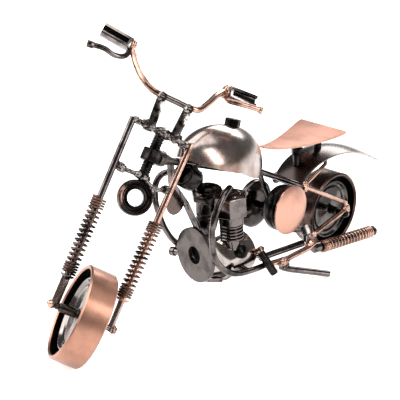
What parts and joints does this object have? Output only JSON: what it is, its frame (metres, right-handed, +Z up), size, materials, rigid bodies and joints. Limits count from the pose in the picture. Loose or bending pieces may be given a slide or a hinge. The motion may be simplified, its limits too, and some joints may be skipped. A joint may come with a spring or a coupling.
{
  "type": "model motorcycle",
  "caption": "Welded metal chopper model: sprung front fork that steers, two spinning ring wheels, bolt engine, domed tank, curved seat, fender, exhaust spring and a prop stand.",
  "frame": {"origin": "centre of the bounding box's base, on the ground the wheels stand on", "axes": "+Y from the front wheel towards the rear wheel, +Z up, +X towards the rider's left, where the prop stand is"},
  "size_m": [0.0619, 0.2182, 0.1223],
  "materials": {
    "black_nickel": "polished black nickel plate",
    "black_steel": "dark blackened steel, satin",
    "grey_steel": "satin grey steel",
    "copper_plate": "brushed antique copper plate over steel",
    "dark_copper_plate": "darkened antique copper plate over steel"
  },
  "bodies": {
    "frame": {"crankcase": "black_nickel", "crankcase_bar": "black_nickel", "crankcase_bolt": "black_steel", "cylinder_left": "black_nickel", "cylinder_right": "black_steel", "down_tube": "black_nickel", "down_tube_washer": "grey_steel", "drum_cap_left": "copper_plate", "drum_left": "black_steel", "drum_leg": "black_nickel", "drum_right": "black_steel", "drum_shaft": "black_steel", "exhaust_pipe": "black_nickel", "exhaust_rod": "copper_plate", "footpeg_left": "dark_copper_plate", "frame_backbone": "black_nickel", "frame_rail_left": "black_nickel", "frame_rail_right": "black_nickel", "front_plate": "grey_steel", "front_plate_bolt": "black_nickel", "header_left": "black_nickel", "header_right": "black_nickel", "kickstand": "black_nickel", "muffler_rod": "black_nickel", "muffler_spring": "copper_plate", "neck_ring": "black_steel", "rear_axle": "dark_copper_plate", "rear_fender": "black_nickel", "rear_stay_left": "copper_plate", "rear_stay_right": "black_nickel", "seat": "copper_plate", "seat_post_front": "black_steel", "seat_post_rear": "black_steel", "spark_bolt": "black_steel", "steering_nut": "black_steel", "steering_nut_bolt": "grey_steel", "tank": "black_nickel", "tank_cap": "black_nickel"},
    "rear_wheel": {"rear_tyre_ring": "dark_copper_plate", "rear_disc_left": "grey_steel", "rear_disc_right": "grey_steel"},
    "fork": {"fork_leg_left": "copper_plate", "fork_leg_right": "black_nickel", "fork_spring_left": "dark_copper_plate", "fork_spring_right": "dark_copper_plate", "upper_clamp": "black_nickel", "lower_clamp": "black_nickel", "steering_stud": "black_steel", "headlight": "dark_copper_plate", "handlebar": "copper_plate", "grip_left": "black_steel", "grip_right": "black_steel", "lever_left": "copper_plate", "lever_right": "black_nickel", "front_axle": "black_nickel"},
    "front_wheel": {"front_tyre_ring": "copper_plate", "front_disc_left": "grey_steel", "front_disc_right": "grey_steel"}
  },
  "joints": [
    {"name": "steering", "type": "hinge", "parent": "frame", "child": "fork", "pos_m": [0.005, -0.09053, 0.02008], "axis": [0, 0.5896, 0.8077], "range_deg": [-107, 0]},
    {"name": "front_wheel_spin", "type": "hinge", "parent": "fork", "child": "front_wheel", "pos_m": [0.005, -0.09053, 0.02008], "axis": [0.5948, 0.6493, -0.474], "continuous": true},
    {"name": "rear_wheel_spin", "type": "hinge", "parent": "frame", "child": "rear_wheel", "pos_m": [0.005, 0.06707, 0.0176], "axis": [1, 0, 0], "continuous": true}
  ]
}
